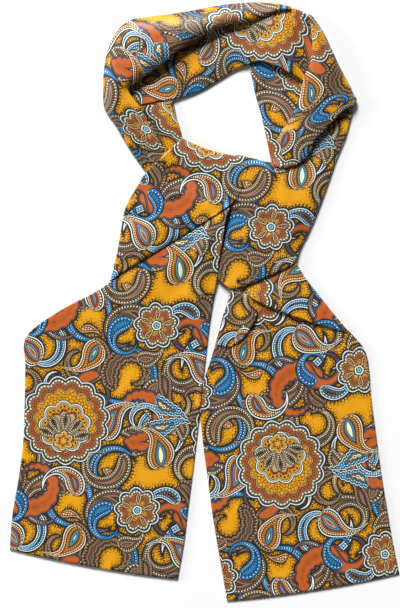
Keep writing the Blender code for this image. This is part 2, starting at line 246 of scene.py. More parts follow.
# The same stretch, the strip on top. It ends in the fold that overhangs the crossing.
BAND_RIGHT_OUTER = [
    (147, 402, 152, 399, 6.0, 7.0, 4.0),
    (150, 383, 166, 379, 12.0, 11.0, 3.4),
    (152, 357, 178, 354, 14.0, 14.0, 3.4),
    (149, 333, 191, 326, 14.0, 16.0, 3.4),
    (140, 311, 201, 308, 13.6, 16.6, 3.4),
    (136, 291, 209, 291, 13.0, 16.6, 4.0),
    (128, 267, 213, 281, 12.4, 16.4, 8.0),
    (115, 246, 191, 264, 12.0, 15.6, 13.0),
    (107, 233, 168, 240, 11.6, 14.6, 13.0),
    (108, 217, 153, 224, 11.0, 13.4, 12.6),
    (111, 201, 147, 207, 10.4, 12.0, 11.4),
    (114, 187, 129, 191, 9.0, 10.0, 9.6),
]

# A soft ridge, or a trough where its height is negative, along an arc from one place to another. bow is
# how far the arc leaves the straight line, and width how far to each side the cloth rises.
Crease = namedtuple("Crease", "from_x from_y to_x to_y bow width height")
CREASES = {
    "tail_left": [
        # waves of the flat tail
        (-236, -112, -40, -196, 16, 26, 1.0),
        (-250, -205, -70, -262, -14, 22, -0.7),
        (-150, -66, -176, -330, 22, 24, 0.8),
        (-92, -70, -60, -250, -14, 17, 0.7),
        (-218, -240, -110, -352, 10, 20, 0.7),
        # drawn together towards the tuck
        (24, 112, -66, 34, 8, 13, 1.6),
        (-30, 84, -24, 14, 4, 8, -1.8),
        (6, 92, -6, 8, -3, 7, 1.2),
        (-10, 60, -84, -20, 8, 12, -1.1),
        (16, 60, 2, -60, -3, 9, -1.2),
    ],
    "cross_left": [
        (-114, 120, -76, 112, 2, 6.5, -3.4),
        (-108, 136, -66, 128, 3, 8, 1.2),
        (-100, 92, -52, 98, -4, 9, 1.0),
        (-60, 180, 12, 150, 8, 9, -1.3),
        (-70, 160, 26, 128, 4, 8, 1.1),
        (-96, 66, -20, 108, 4, 7, -1.0),
    ],
    "cross_right": [
        (35, 132, 25, 78, -2, 9, -5.4),
        (44, 118, 88, 62, 3, 14, 1.5),
        (48, 138, 118, 92, -6, 8, -1.6),
        (56, 158, 138, 112, -5, 9, 1.3),
        (106, 188, 84, 110, 5, 8, -1.3),
        (172, 204, 130, 96, 3, 8, 1.2),
        (150, 190, 118, 128, -4, 6, -1.0),
        (58, 66, 96, 50, 2, 7, -1.2),
    ],
    "tail_right": [
        (60, -96, 214, -140, 12, 24, 0.9),
        (22, -190, 226, -214, -16, 26, -0.7),
        (96, -70, 108, -330, -18, 22, 0.8),
        (180, -96, 206, -330, 14, 20, 0.7),
        (44, -270, 150, -384, -10, 18, 0.7),
        (76, -30, 132, -86, 5, 11, 1.2),
    ],
    "tail_right_tuck": [(50, 8, 34, -56, 5, 6, -1.6)],
    "flap_turned": [
        (84, 34, 132, -16, 4, 8, -1.0),
        (112, 50, 168, -30, 3, 8, 0.9),
    ],
    "band_left_inner": [
        (-86, 270, -53, 213, 1, 4.6, -2.4),
        (-62, 284, -44, 236, 2, 6, 1.0),
    ],
    "band_outer": [
        (-124, 306, -84, 236, 2, 7, -1.6),
        (-126, 330, -96, 374, 5, 8, 1.0),
        (-96, 340, -24, 376, 5, 7, -1.7),
        (-60, 384, 24, 404, 3, 6, -1.2),
        (-102, 316, -58, 340, 2, 5, 1.0),
    ],
    "band_back_inner": [
        # the hollow beside the fold of the strip above it, and a narrow roll along the hollow
        (-90, 300, 56, 385, 12, 9.5, -3.2),
        (-52, 320, 34, 370, 5, 4.5, 2.2),
        (50, 392, 66, 348, 4, 10, -2.4),
        (-70, 318, -40, 292, 2, 6, 1.2),
        (0, 348, 10, 312, 2, 7, 1.0),
        (84, 404, 104, 340, 4, 8, 1.6),
        (149, 399, 146, 352, 2, 10, -3.0),
    ],
    "band_right_inner": [
        (84, 306, 122, 250, 4, 8, -1.8),
        (96, 314, 136, 276, 2, 7, 1.0),
        (94, 244, 108, 200, 2, 6, -1.2),
    ],
    "band_right_outer": [
        (160, 376, 182, 300, 4, 7, 1.4),
        (157, 344, 160, 268, -3, 6, -2.2),
        (184, 320, 176, 262, 3, 7, -1.4),
        (140, 280, 132, 212, 3, 6, -1.6),
        (124, 244, 140, 206, 2, 6, 1.2),
    ],
}


def middle_of(rows):
    return (rows[:, LEFT] + rows[:, RIGHT]) / 2


def steps_of(points, axis=0):
    """The distances between neighbouring points."""
    return np.linalg.norm(np.diff(points, axis=axis), axis=-1)


def unit(vectors):
    return vectors / np.maximum(np.linalg.norm(vectors, axis=-1, keepdims=True), TINY)


def raised(plan, height):
    """The points of a plan with their heights."""
    return np.concatenate([plan, height[..., None]], axis=-1)


def sections(rows):
    """The rows and the sections between them, on a smooth curve through each column."""
    table = np.array([Row(*row) for row in rows], dtype=float)
    runs = steps_of(middle_of(table))
    marks = np.concatenate([[0.0], np.cumsum(runs)])
    slopes = np.gradient(table, marks, axis=0)
    result = []
    for k, run in enumerate(runs):
        steps = max(1, round(run / CELL))
        t = (np.arange(steps) / steps)[:, None]
        result.append(
            (2 * t**3 - 3 * t**2 + 1) * table[k]
            + (t**3 - 2 * t**2 + t) * run * slopes[k]
            + (3 * t**2 - 2 * t**3) * table[k + 1]
            + (t**3 - t**2) * run * slopes[k + 1]
        )
    return np.concatenate(result + [table[-1:]])


def plan_of(rows, across):
    """The points of a stretch seen from above, section by section, at places from 0 to 1 across it."""
    across = across[..., None]
    left, right = rows[:, None, LEFT], rows[:, None, RIGHT]
    along = right - left
    outward = unit(np.stack([along[..., 1], -along[..., 0]], axis=-1))
    bow = 4 * across * (1 - across) * rows[:, None, BOW:]
    return left + across * along + bow * outward


def height_of(rows, across):
    """The height that the sections' own shape gives, with a crown between the two outlines."""
    left, middle, right = rows[:, None, LEFT_Z], rows[:, None, MIDDLE_Z], rows[:, None, RIGHT_Z]
    edge = left + (right - left) * across
    return edge + (middle - (left + right) / 2) * (1 - abs(2 * across - 1) ** CROWN_POWER)


def crease_height(plan, creases):
    """How much the creases raise or lower each point."""
    total = np.zeros(plan.shape[:2])
    for crease in (Crease(*values) for values in creases):
        start = np.array([crease.from_x, crease.from_y], dtype=float)
        chord = np.array([crease.to_x, crease.to_y], dtype=float) - start
        length = np.hypot(*chord)
        side = np.array([-chord[1], chord[0]]) / length
        offset = plan - start
        t = np.clip(offset @ chord / length**2, 0, 1)
        arc = start + t[..., None] * chord + (4 * t * (1 - t) * crease.bow)[..., None] * side
        away = np.linalg.norm(plan - arc, axis=-1)
        taper = np.sqrt(np.clip(4 * t * (1 - t), 0, 1))
        total += crease.height * np.exp(-((away / crease.width) ** CREASE_POWER)) * taper
    return total


def felt_below(plan, laid):
    """The height of the highest stretch below each point, or 0 on the surface."""
    flat = plan.reshape(-1, 2)
    below = np.zeros(len(flat))
    down = Vector((0, 0, -1))
    for tree, low, high in laid:
        near = np.nonzero(((flat > low) & (flat < high)).all(axis=1))[0]
        for n in near:
            hit = tree.ray_cast(Vector((flat[n, 0], flat[n, 1], RAY_TOP)), down)[0]
            if hit is not None:
                below[n] = max(below[n], hit.z)
    return below.reshape(plan.shape[:2])


def melted(rows, across):
    """How far the cloth melts into what it lies on: only above the tuck and towards its right outline."""
    up = np.clip((rows[:, None, RIGHT_Y] - TUCK_TOP) / MELT_RISE, 0, 1)
    side = np.clip((across - MELT_FROM) / MELT_OVER, 0, 1)
    share = up * side
    return share * share * (3 - 2 * share)


def spread(grid):
    """Each point's highest neighbour, so that cloth bridges the foot of a step."""
    padded = np.pad(grid, 1, mode="edge")
    count, width = grid.shape
    return np.max([padded[i : i + count, j : j + width] for i in range(3) for j in range(3)], axis=0)


def soften(top, least):
    """Evens out the upper side, without dipping under its least height."""
    for _ in range(EVEN_PASSES):
        mean = top.copy()
        mean[1:-1, :] = (top[:-2, :] + 2 * top[1:-1, :] + top[2:, :]) / 4
        mean[:, 1:-1] = (mean[:, :-2] + 2 * mean[:, 1:-1] + mean[:, 2:]) / 4
        top = np.maximum(mean, least)
    return top


def rim_of(grid):
    """A grid's outermost values, once round."""
    return np.concatenate([grid[0], grid[1:, -1], grid[-1, -2::-1], grid[-2:0:-1, 0]])


def cloth_mesh(name, plan, lower, upper, top_print, under_print, plies):
    """A closed sheet between two heights. Its rim is rolled, one roll for each ply that shows."""
    count, width = plan.shape[:2]
    top, under = raised(plan, upper).reshape(-1, 3), raised(plan, lower).reshape(-1, 3)
    flat_top, flat_under = top_print.reshape(-1, 2), under_print.reshape(-1, 2)
    grid = np.arange(count * width).reshape(count, width)
    ring, inner = rim_of(grid), rim_of(np.pad(grid[1:-1, 1:-1], 1, mode="edge"))
    edge = plan.reshape(-1, 2)[ring]
    after = np.roll(edge, -1, axis=0)
    ahead = after - np.roll(edge, 1, axis=0)
    outward = unit(np.stack([ahead[:, 1], -ahead[:, 0]], axis=-1))
    clockwise = np.sum(edge * after[:, ::-1] * [1, -1]) < 0
    if clockwise:
        outward = -outward
    thick = (upper - lower).reshape(-1)[ring]
    low = lower.reshape(-1)[ring]
    print_out = unit(flat_top[ring] - flat_top[inner])
    roll = np.minimum(thick / plies / 2, WIDEST_ROLL)
    levels = [(1 - (ply + down) / plies, bulge) for ply in range(plies) for down, bulge in RIM_ROLL]
    walls, wall_prints = [], []
    travelled = np.zeros(len(ring))
    place = top[ring]
    for level, bulge in levels[1:-1]:
        point = raised(edge + outward * (bulge * roll)[:, None], low + level * thick)
        travelled = travelled + np.linalg.norm(point - place, axis=-1)
        place = point
        walls.append(point)
        wall_prints.append(flat_top[ring] + print_out * (travelled * MM)[:, None])
    verts = np.concatenate([top, under] + walls) * MM
    corner = grid[:-1, :-1].reshape(-1)
    quad = np.stack([corner, corner + 1, corner + width + 1, corner + width], axis=-1)
    faces = [quad, quad[:, ::-1] + len(top)]
    prints = [flat_top[quad], flat_under[quad[:, ::-1]]]
    size, base = len(ring), 2 * len(top)
    rings = [ring] + [base + n * size + np.arange(size) for n in range(len(walls))] + [ring + len(top)]
    ring_prints = [flat_top[ring]] + wall_prints
    ring_prints.append(wall_prints[-1] + print_out * (roll * MM)[:, None])
    following = (np.arange(size) + 1) % size
    for one, two, print_one, print_two in zip(rings[:-1], rings[1:], ring_prints[:-1], ring_prints[1:]):
        faces.append(np.stack([one, two, two[following], one[following]], axis=-1))
        prints.append(np.stack([print_one, print_two, print_two[following], print_one[following]], axis=1))
    faces = np.concatenate(faces)
    if clockwise:
        faces = faces[:, ::-1]
        prints = [part[:, ::-1] for part in prints]
    mesh = bpy.data.meshes.new(name)
    mesh.from_pydata(verts.tolist(), [], faces.tolist())
    layer = mesh.uv_layers.new(name="cloth")
    layer.uv.foreach_set("vector", np.concatenate(prints).reshape(-1).astype(np.float32))
    mesh.shade_smooth()
    return mesh, verts, faces


def plain_print(plan, turn, move_x, move_y, mirror=1):
    """Keeps the plan's lengths, and turns them by the strip's own turn from straight up, in degrees."""
    x, y = math.cos(math.radians(turn)), math.sin(math.radians(turn))
    return (plan @ np.array([[x, -y], [y, x]]) * [mirror, 1] + [move_x, move_y]) * MM


def along_print(plan, upper, move_x, move_y):
    """Follows the bends. Lengths are taken along the middle, and across over the cloth's own form."""
    middle = plan[:, plan.shape[1] // 2]
    run = np.concatenate([[0.0], np.cumsum(steps_of(middle))])
    steps = steps_of(raised(plan, upper), axis=1)
    across = np.concatenate([np.zeros((len(plan), 1)), np.cumsum(steps, axis=1)], axis=1)
    return np.stack([across + move_x, np.broadcast_to(run[:, None], across.shape) + move_y], -1) * MM


# print_on is how the print lies: its turn unless it is along the stretch, how far it is moved across and
# up in millimetres, and -1 where it is mirrored.
# nodes are the solids that a piece stands for, where that isn't just the one with its own name.
Piece = namedtuple("Piece", "name rows print_on rests_on nodes plies held melts",
                   defaults=((), (), 1, "folded", False))
UNDER_SHIFT = np.array([0.0, 0.13])  # the under side shows another part of the print, mirrored
CROSS_PRINT = ("plain", -14, 122, 96)

PIECES = [
    Piece("tail_right", TAIL_RIGHT, ("plain", 188, 150, 95), plies=2, held="laid"),
    Piece("tail_right_tuck", TAIL_RIGHT_TUCK, ("plain", 196.6, 60, 95), ["tail_right"]),
    Piece("flap_turned", FLAP_TURNED, ("plain", -90, 60, 40, -1), ["tail_right"]),
    Piece("band_left_inner", BAND_LEFT_INNER, ("along", 0, 40)),
    Piece("cross_right", CROSS_RIGHT, CROSS_PRINT, ["tail_right", "flap_turned"]),
    Piece("band_right_inner", BAND_RIGHT_INNER, ("along", 120, 200), ["cross_right"]),
    Piece("band_back_inner", BAND_BACK_INNER, ("along", 60, 130), ["band_left_inner", "band_right_inner"]),
    Piece("band_outer", BAND_OUTER, ("along", 148, 150), ["band_left_inner", "band_back_inner"],
          nodes=["band_left_outer", "band_back_outer"]),
    Piece("tail_left", TAIL_LEFT, ("plain", -6, 10, 0), ["cross_right"],
          nodes=["tail_left", "cross_left"], plies=2, held="laid"),
    Piece("cross_left", CROSS_LEFT, CROSS_PRINT, ["band_outer", "tail_left", "cross_right"], melts=True),
    Piece("band_right_outer", BAND_RIGHT_OUTER, ("along", 90, 60), ["band_right_inner", "cross_right"]),
]


def lay_piece(piece, laid, silk):
    rows = sections(piece.rows)
    widest = np.linalg.norm(rows[:, RIGHT] - rows[:, LEFT], axis=-1).max()
    across = np.linspace(0, 1, max(FEWEST_ACROSS, round(widest / CELL)) + 1)[None, :]
    plan = plan_of(rows, across)
    shape = height_of(rows, across) + crease_height(plan, CREASES.get(piece.name, []))
    below = spread(felt_below(plan, laid))
    full = 1 - (melted(rows, across) if piece.melts else 0)
    lower = np.where(below > 0, below + GAP * full, 0.0)
    least = lower + SILK_WALL * full + MELTED_WALL * (1 - full)
    upper = soften(np.maximum(shape, least), least)
    lower = np.maximum(lower, upper - (2 * PLY * full + MELTED_WALL * (1 - full)))
    kind, *lie = piece.print_on
    top_print = along_print(plan, upper, *lie) if kind == "along" else plain_print(plan, *lie)
    under_print = top_print * [-1, 1] + UNDER_SHIFT
    name = "silk_" + piece.name
    mesh, verts, faces = cloth_mesh(name, plan, lower, upper, top_print, under_print, piece.plies)
    mesh.materials.append(silk)
    points = verts / MM
    tree = BVHTree.FromPolygons(points.tolist(), faces.tolist())
    laid.append((tree, points[:, :2].min(axis=0), points[:, :2].max(axis=0)))
    obj = new_object(name, mesh)
    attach(obj, "root")
    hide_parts(*(piece.nodes or [piece.name]))


# ---- the print
# A dense all-over paisley, drawn for this part from ordinary motifs: scrolls, leaves, plumes, teardrops
# and two medallions on a mustard ground. Its sizes are in millimetres of cloth.

REPEAT_X = 240.0
REPEAT_Y = 260.0
RIB_PITCH = 2.0  # of the twill
WAVE_RATE = 10  # radians that a diagonal wave texture goes through in a unit of its scale
DASH_HALF = 0.85  # half the width of a row of dashes
TICK_PITCH, TICK_WIDTH, TICK_LENGTH = 2.9, 1.15, 4.6
DARK_RIM = 1.5  # the line round each motif, at the foot of the ticks
CRACKLE_CELL = 4.4
CRACKLE_NEAR, CRACKLE_FAR = -2.0, -12.0  # between them the crackle thins out from a motif
CRACKLE_LINE, CORE_LINE = 0.115, 0.11  # half its lines' width, in cells, on the ground and in medallions
CORE_DEPTH = 21.2  # how deep in a medallion its crackled middle starts

NAVY = "0F1E2A"
TEAL = "1D4A5A"
PALE = "E6F2F0"
CREAM = "F6ECBE"
YELLOW = "E9B436"
MUSTARD = "E59F00"
RUST = "BE5C1C"
BRICK = "8A421A"
TAUPE = "80644E"
BROWN = "523624"
UMBER = "170F09"
CRACKLE_BROWN = "66420E"
TICK_BROWN = "382610"


def linear(code):
    """A colour's sRGB hex code in linear values."""
    parts = [int(code[i : i + 2], 16) / 255 for i in (0, 2, 4)]
    return (*(c / 12.92 if c <= 0.04045 else ((c + 0.055) / 1.055) ** 2.4 for c in parts), 1.0)


def add(tree, kind, inputs=(), out=0, stops=(), points=(), **settings):
    """Adds a shader node with its settings, sets or links its inputs, and gives one of its outputs.

    Inputs are given in order, or by name or number. A Mix has its share at 0, and what it mixes at 2 and
    3 for numbers, 4 and 5 for vectors, and 6 and 7 for colours.
    """
    made = tree.nodes.new(kind if kind.startswith("NodeGroup") else "ShaderNode" + kind)
    for name, value in settings.items():
        setattr(made, name, value)
    for key, value in inputs.items() if isinstance(inputs, dict) else enumerate(inputs):
        if isinstance(value, bpy.types.NodeSocket):
            tree.links.new(value, made.inputs[key])
        else:
            made.inputs[key].default_value = value
    if stops:
        ramp = made.color_ramp
        ramp.interpolation = "CONSTANT"
        while len(ramp.elements) > 1:
            ramp.elements.remove(ramp.elements[-1])
        for n, (place, colour) in enumerate(stops):
            stop = ramp.elements[0] if n == 0 else ramp.elements.new(place)
            stop.position = place
            stop.color = colour
    if points:
        curve = made.mapping.curves[0]
        for n, (x, y) in enumerate(points):
            if n < 2:
                curve.points[n].location = (x, y)
            else:
                curve.points.new(x, y)
        made.mapping.update()
    return made if out is None else made.outputs[out]


# How deep from its outline, in millimetres, each colour of a style starts.
DEEPEST = 30.0
STYLES = {
    "leaf": [
        (0, UMBER), (1.3, "B29878"), (2.3, UMBER), (5.3, TAUPE), (7.4, UMBER), (8.4, "98745A"),
        (10.8, UMBER), (11.8, TAUPE), (15, UMBER),
    ],
    "taupe": [
        (0, NAVY), (1.4, "7A6260"), (2.8, UMBER), (5.7, "80624C"), (8.2, UMBER), (9.2, "906C50"),
        (12.0, UMBER), (13.0, BROWN),
    ],
    "rust": [(0, UMBER), (1.2, "5E5668"), (2.3, "4A2418"), (3.3, RUST), (9.4, "B0541A"), (14.0, BRICK)],
    "blue": [(0, NAVY), (1.7, "2B86BE"), (3.0, "16588C"), (5.8, NAVY), (7.0, "257EB6")],
    "hook": [
        (0, NAVY), (1.6, PALE), (2.7, NAVY), (3.6, "1E729E"), (6.4, NAVY), (7.4, "80644E"),
        (9.8, UMBER), (10.6, "2684B2"),
    ],
    "paisley": [
        (0, NAVY), (1.4, PALE), (2.9, NAVY), (4.0, BROWN), (7.4, "D2A870"), (8.4, "A44A1A"),
        (11.6, UMBER), (12.6, "5C84A0"), (14.8, NAVY), (15.8, "B8A888"), (17.4, "A44A1A"),
    ],
    "boteh": [
        (0, NAVY), (1.3, CREAM), (2.6, TEAL), (3.7, "A84E1C"), (7.0, UMBER), (8.2, "D89C28"),
        (10.6, BRICK), (12.6, UMBER), (13.6, "3D8AA2"), (16.2, NAVY), (17.2, CREAM),
    ],
    "ring": [
        (0, NAVY), (1.4, PALE), (2.7, TEAL), (4.4, UMBER), (5.4, "846652"), (9.4, UMBER),
        (10.4, "A88C64"), (11.4, UMBER), (12.4, "B0541C"), (17.0, "4A2C1A"), (18.6, "C8A878"),
        (19.6, UMBER), (20.6, MUSTARD),
    ],
    "lace": [
        (0, NAVY), (1.4, PALE), (2.9, NAVY), (4.0, "DCC890"), (5.2, BROWN), (6.4, "CC9426"),
        (12.6, "A44A1A"), (15.6, UMBER), (16.8, "BCA078"),
    ],
    "fan": [(0, UMBER), (1.1, "BCA884"), (2.1, UMBER), (4.8, TAUPE), (6.6, UMBER), (7.8, "9C785A")],
    "flower": [
        (0, UMBER), (1.3, "DCC890"), (2.6, "D49A2A"), (6.6, BROWN), (7.6, "A44A1A"), (10.0, YELLOW),
    ],
    "eye": [(0, NAVY), (1.4, PALE), (3.0, NAVY), (4.2, "3D8AA2"), (7.0, NAVY), (8.2, PALE)],
    "feather": [
        (0, NAVY), (1.1, PALE), (2.2, TEAL), (3.3, UMBER), (4.1, "2684B2"), (7.0, UMBER),
        (8.0, "906C50"), (9.8, UMBER), (10.8, CREAM), (12.2, TEAL),
    ],
    "petal": [
        (0, "4A3024"), (1.4, "CDB886"), (2.5, UMBER), (3.6, "A84E1C"), (6.6, UMBER), (7.4, YELLOW),
    ],
    "moss": [
        (0, UMBER), (1.2, "9E7E60"), (2.2, UMBER), (4.4, "6C5040"), (6.4, UMBER), (7.4, "866850"),
        (10, UMBER), (11, "6C5040"),
    ],
}
SLOTS = len(STYLES) + 1  # of the ramps that hold one measure or colour for each style
SAME_STYLE = 0.4  # how close to a style's number counts as that style


def number_of(style):
    """A style's number, from 1. The ground has none."""
    return float(list(STYLES).index(style) + 1)


# Along the inside of a style: depth, pitch and radius of its dots, depth of its dashes, the dots' colour.
# Rust has neither, so its dots have no radius and its dashes lie too deep.
DOTS = {
    "leaf": (3.8, 3.0, 0.9, 6.4, CREAM),
    "taupe": (4.3, 3.0, 0.9, 7.0, CREAM),
    "rust": (5.9, 6.0, 0.0, 29.0, RUST),
    "blue": (4.4, 3.4, 0.7, 8.4, PALE),
    "hook": (5.0, 3.4, 0.8, 9.0, PALE),
    "paisley": (5.7, 3.0, 0.95, 10.0, CREAM),
    "boteh": (5.4, 3.0, 0.85, 9.4, CREAM),
    "ring": (7.4, 4.0, 1.2, 14.6, CREAM),
    "lace": (9.6, 6.0, 1.6, 14.2, UMBER),
    "fan": (3.5, 2.9, 0.8, 5.8, CREAM),
    "flower": (4.6, 4.4, 1.0, 9.0, BROWN),
    "eye": (5.6, 3.6, 0.8, 10.0, PALE),
    "feather": (5.2, 3.4, 0.7, 8.0, PALE),
    "petal": (5.1, 3.4, 0.8, 9.0, CREAM),
    "moss": (3.3, 3.0, 0.8, 5.4, "C8AC7C"),
}

TWO_PI = 2 * math.pi
CURL_RADIUS = 0.62  # a curl's middle line lies about this far from its centre, for its dots' spacing
ROSETTE_RADIUS = 0.8  # and a rosette's row of dots this far, both in sizes
ALONG_X = (1, 0, 0)
ALONG_Y = (0, 1, 0)
FLOOR = 0.15  # half-widths are raised by this in their curves, which hold nothing below 0

# Outlines: where a motif of unit length starts and ends, then its half-widths at places along it.
# Spines: how far from the centre, or from the side, the middle of a motif is at places along it.
DROP = (
    0.022, 0.72, (0.03, 0.0), (0.04, 0.15), (0.06, 0.27), (0.10, 0.36), (0.16, 0.38), (0.24, 0.30),
    (0.34, 0.19), (0.46, 0.11), (0.58, 0.06), (0.66, 0.0),
)
SCROLL = (
    0.022, 0.98, (0.03, 0.0), (0.04, 0.12), (0.06, 0.19), (0.10, 0.24), (0.18, 0.26), (0.34, 0.22),
    (0.54, 0.15), (0.74, 0.09), (0.88, 0.05), (0.94, 0.0),
)
SICKLE = (
    0.0, 0.98, (0.04, 0.0), (0.12, 0.07), (0.3, 0.12), (0.5, 0.14), (0.7, 0.12), (0.85, 0.07),
    (0.94, 0.0),
)
LANCE = (
    0.0, 1.0, (0.04, 0.0), (0.2, 0.13), (0.42, 0.18), (0.65, 0.14), (0.85, 0.06), (0.96, 0.0),
)
PLUME = (
    0.0, 1.0, (0.03, 0.02), (0.2, 0.06), (0.5, 0.15), (0.75, 0.20), (0.90, 0.14), (0.97, 0.0),
)
WINDING = [(0, 0.64), (1, 0.36), (0.5, 0.60), (0.75, 0.52)]
CURLING = [(0, 0.70), (1, 0.20), (0.35, 0.66), (0.6, 0.52), (0.8, 0.36)]
STRAIGHT = [(0, 0.5), (1, 0.5)]
S_BEND = [(0, 0.40), (1, 0.66), (0.25, 0.52), (0.5, 0.50), (0.75, 0.49)]
C_BEND = [(0, 0.38), (1, 0.38), (0.5, 0.58)]
BOTEH = (
    0.0, 1.0, (0.015, 0.04), (0.07, 0.19), (0.2, 0.28), (0.36, 0.28), (0.55, 0.20), (0.72, 0.13),
    (0.88, 0.09), (0.97, 0.04),
)
HOOK = [(0, 0.50), (1, 0.98), (0.35, 0.42), (0.6, 0.42), (0.78, 0.50), (0.9, 0.66)]
PLUMED = (
    0.022, 0.94, (0.03, 0.0), (0.05, 0.12), (0.09, 0.21), (0.16, 0.25), (0.28, 0.24), (0.44, 0.18),
    (0.62, 0.11), (0.78, 0.05), (0.9, -0.02),
)
COMMA = (
    0.022, 0.9, (0.03, 0.0), (0.04, 0.15), (0.06, 0.25), (0.10, 0.32), (0.17, 0.33), (0.27, 0.24),
    (0.40, 0.16), (0.56, 0.10), (0.74, 0.06), (0.84, 0.0),
)

# What a motif's node group is given, and what it gives: how far along the motif a place is, its depth
# inside the outline and the motif's style, and that depth once more.
SHAPE_IN = {"Place": "Vector", "Centre": "Vector", "High": "Vector", "Low": "Vector", "Turn": "Vector",
            "Scale": "Vector", "Size": "Float", "Reach": "Float", "Style": "Float"}
SHAPE_OUT = {"Motif": "Vector", "Depth": "Float"}
OVER_IN = {"Cover": "Vector", "Cover depth": "Float", "Motif": "Vector", "Motif depth": "Float"}


def group_of(name, given=SHAPE_IN):
    """A new node group, and what its input node gives by name."""
    tree = bpy.data.node_groups.new(name, "ShaderNodeTree")
    for in_out, sockets in (("INPUT", given), ("OUTPUT", SHAPE_OUT)):
        for socket, kind in sockets.items():
            tree.interface.new_socket(socket, in_out=in_out, socket_type="NodeSocket" + kind)
    return tree, add(tree, "NodeGroupInput", out=None).outputs


def over_group():
    """Lays a motif over what is there. It covers it inside, and outside the nearest outline counts."""
    tree, given = group_of("over", OVER_IN)
    inside = add(tree, "Math", (given["Motif depth"], 0.0), operation="GREATER_THAN")
    nearer = add(tree, "Math", (given["Motif depth"], given["Cover depth"]), operation="GREATER_THAN")
    over = add(tree, "Math", (inside, nearer), operation="MAXIMUM")
    cover = add(tree, "Mix", {0: over, 4: given["Cover"], 5: given["Motif"]}, out=1, data_type="VECTOR")
    depth = add(tree, "Mix", {0: over, 2: given["Cover depth"], 3: given["Motif depth"]})
    add(tree, "NodeGroupOutput", {"Motif": cover, "Depth": depth}, out=None)
    return tree


class Print:
    """The print as it is laid: what covers a place, and how deep it is inside its nearest outline."""

    def __init__(self, tree, place):
        self.tree, self.place = tree, place
        self.cover = self.depth = None
        self.over = over_group()
        self.shapes = {}


def local(tree, given):
    """A place as seen from the nearest copy of a motif, in units of its size."""
    wrapped = add(tree, "VectorMath", (given["Place"], given["High"], given["Low"]), operation="WRAP")
    fit = {"Vector": wrapped, "Location": given["Centre"], "Rotation": given["Turn"], "Scale": given["Scale"]}
    return add(tree, "Mapping", fit, vector_type="TEXTURE")


def close_shape(tree, given, along, inner):
    """Ends a motif's group. along and inner are in units of its size."""
    depth = add(tree, "Math", (inner, given["Size"]), operation="MULTIPLY")
    along = add(tree, "Math", (along, given["Reach"]), operation="MULTIPLY")
    motif = add(tree, "CombineXYZ", (along, depth, given["Style"]))
    add(tree, "NodeGroupOutput", {"Motif": motif, "Depth": depth}, out=None)


def polar(tree, place):
    radius = add(tree, "VectorMath", (place,), out=1, operation="LENGTH")
    x = add(tree, "VectorMath", (place, ALONG_X), out=1, operation="DOT_PRODUCT")
    y = add(tree, "VectorMath", (place, ALONG_Y), out=1, operation="DOT_PRODUCT")
    angle = add(tree, "Math", (y, x), operation="ARCTAN2")
    return radius, angle


def scalloped(tree, along, rate, height, base):
    """Round lobes on a base, as many along each unit as rate has times pi in it."""
    wave = add(tree, "Math", (along, rate), operation="MULTIPLY")
    wave = add(tree, "Math", (wave,), operation="SINE")
    wave = add(tree, "Math", (wave,), operation="ABSOLUTE")
    return add(tree, "Math", (wave, height, base), operation="MULTIPLY_ADD")


def close_band(tree, given, along, off, outline, lobes, lobe):
    """Ends the group of a motif along a middle line, from how far off that line a place is."""
    foot, tip, *widths = outline
    points = [(foot, 0.0), (tip, 0.0)] + [(x, width + FLOOR) for x, width in widths]
    half = add(tree, "FloatCurve", {1: along}, points=points)
    if lobes:
        half = scalloped(tree, along, math.pi * lobes, lobe, half)
    off = add(tree, "Math", (off,), operation="ABSOLUTE")
    inner = add(tree, "Math", (half, off), operation="SUBTRACT")
    inner = add(tree, "Math", (inner, FLOOR), operation="SUBTRACT")
    close_shape(tree, given, along, inner)


def curl_shape(outline, spine, lobes, lobe):
    tree, given = group_of("curl")
    radius, angle = polar(tree, local(tree, given))
    t = add(tree, "Math", (angle, 1 / TWO_PI, 0.5), operation="MULTIPLY_ADD")
    wind = add(tree, "FloatCurve", {1: t}, points=spine)
    off = add(tree, "Math", (radius, wind), operation="SUBTRACT")
    close_band(tree, given, t, off, outline, lobes, lobe)
    return tree


def leaf_shape(outline, spine, lobes, lobe):
    tree, given = group_of("leaf")
    place = local(tree, given)
    side = add(tree, "VectorMath", (place, ALONG_X), out=1, operation="DOT_PRODUCT")
    along = add(tree, "VectorMath", (place, ALONG_Y), out=1, operation="DOT_PRODUCT")
    bend = add(tree, "FloatCurve", {1: along}, points=spine)
    off = add(tree, "Math", (side, bend), operation="SUBTRACT")
    off = add(tree, "Math", (off, 0.5), operation="ADD")
    close_band(tree, given, along, off, outline, lobes, lobe)
    return tree


def rosette_shape(petals, cut):
    tree, given = group_of("rosette")
    radius, angle = polar(tree, local(tree, given))
    edge = scalloped(tree, angle, petals / 2, cut, 1 - cut)
    inner = add(tree, "Math", (edge, radius), operation="SUBTRACT")
    close_shape(tree, given, angle, inner)
    return tree


def put(silk, make, form, x, y, turn, size, reach, style, flip=1):
    """Puts a motif on the print. Its group is made once for each form."""
    key = repr((make.__name__, form))
    if key not in silk.shapes:
        silk.shapes[key] = make(*form)
    centre = (x * MM, y * MM, 0)
    half = (REPEAT_X * MM / 2, REPEAT_Y * MM / 2, 1)
    facts = {
        "Place": silk.place,
        "Centre": centre,
        "High": tuple(c + h for c, h in zip(centre, half)),
        "Low": tuple(c - h for c, h in zip(centre, half)),
        "Turn": (0, 0, math.radians(turn)),
        "Scale": (flip * size * MM, size * MM, size * MM),
        "Size": size,
        "Reach": reach,
        "Style": number_of(style),
    }
    motif = add(silk.tree, "Group", facts, node_tree=silk.shapes[key])
    depth = motif.node.outputs[1]
    if silk.cover is not None:
        both = {"Cover": silk.cover, "Cover depth": silk.depth, "Motif": motif, "Motif depth": depth}
        motif = add(silk.tree, "Group", both, node_tree=silk.over)
        depth = motif.node.outputs[1]
    silk.cover, silk.depth = motif, depth


